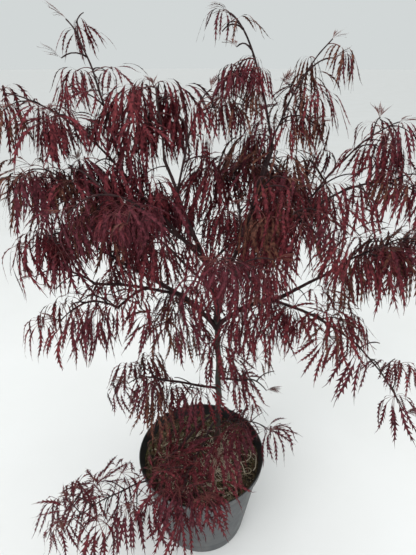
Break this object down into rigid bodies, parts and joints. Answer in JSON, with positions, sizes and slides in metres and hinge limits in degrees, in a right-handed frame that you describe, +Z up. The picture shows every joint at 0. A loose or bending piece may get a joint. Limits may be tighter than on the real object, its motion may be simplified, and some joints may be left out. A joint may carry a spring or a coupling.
{
  "type": "potted laceleaf japanese maple",
  "caption": "Young weeping red laceleaf maple in a round nursery pot, with an airy crown of arching twigs and finely cut hanging leaves.",
  "frame": {"origin": "centre of the pot's flat underside, on the surface that the pot stands on", "axes": "+Z up, along the pot's axis; the fullest side of the crown faces -Y; +X to the right seen from there"},
  "size_m": [0.7236, 0.5465, 1.0294],
  "materials": {
    "pot": "matte, moulded",
    "compost": "coarse, damp, mossy",
    "bark": "smooth grey-green young bark",
    "young_bark": "smooth, near-black purple",
    "foliage": "soft burgundy leaves"
  },
  "bodies": {
    "root": {"pot": "pot", "compost": "compost", "trunk": "bark", "bough_centre": "young_bark", "bough_leader": "young_bark", "bough_left": "young_bark", "bough_left_upper": "young_bark", "bough_left_level": "young_bark", "bough_left_steep": "young_bark", "bough_left_low": "young_bark", "bough_right": "young_bark", "bough_right_outer": "young_bark", "bough_right_trail": "young_bark", "bough_right_upper": "young_bark", "bough_top": "young_bark", "bough_front_left": "young_bark", "bough_tall_left": "young_bark", "bough_front": "young_bark", "bough_back": "young_bark", "bough_back_left": "young_bark", "bough_back_right": "young_bark", "twig_low_left": "young_bark", "twig_low_right": "young_bark", "twig_pot_front": "young_bark", "twig_pot_left": "young_bark", "foliage_leader": "foliage", "foliage_top_right": "foliage", "foliage_tall_left": "foliage", "foliage_far_left": "foliage", "foliage_top": "foliage", "foliage_top_middle": "foliage", "foliage_front_left": "foliage", "foliage_left_upper": "foliage", "foliage_left_back": "foliage", "foliage_left_level": "foliage", "foliage_left_low": "foliage", "foliage_left_steep": "foliage", "foliage_front": "foliage", "foliage_centre": "foliage", "foliage_right_upper": "foliage", "foliage_right_high": "foliage", "foliage_right_front": "foliage", "foliage_right_outer": "foliage", "foliage_right_trail": "foliage", "foliage_right_hang": "foliage", "foliage_centre_low": "foliage", "foliage_left_inner": "foliage", "foliage_low_left": "foliage", "foliage_low_middle": "foliage", "foliage_low_right": "foliage", "foliage_pot_right": "foliage", "foliage_pot_front": "foliage", "foliage_pot_trail": "foliage", "foliage_back_top": "foliage", "foliage_back": "foliage", "foliage_back_left": "foliage", "foliage_back_left_low": "foliage", "foliage_back_right": "foliage", "foliage_back_right_low": "foliage"}
  },
  "joints": []
}
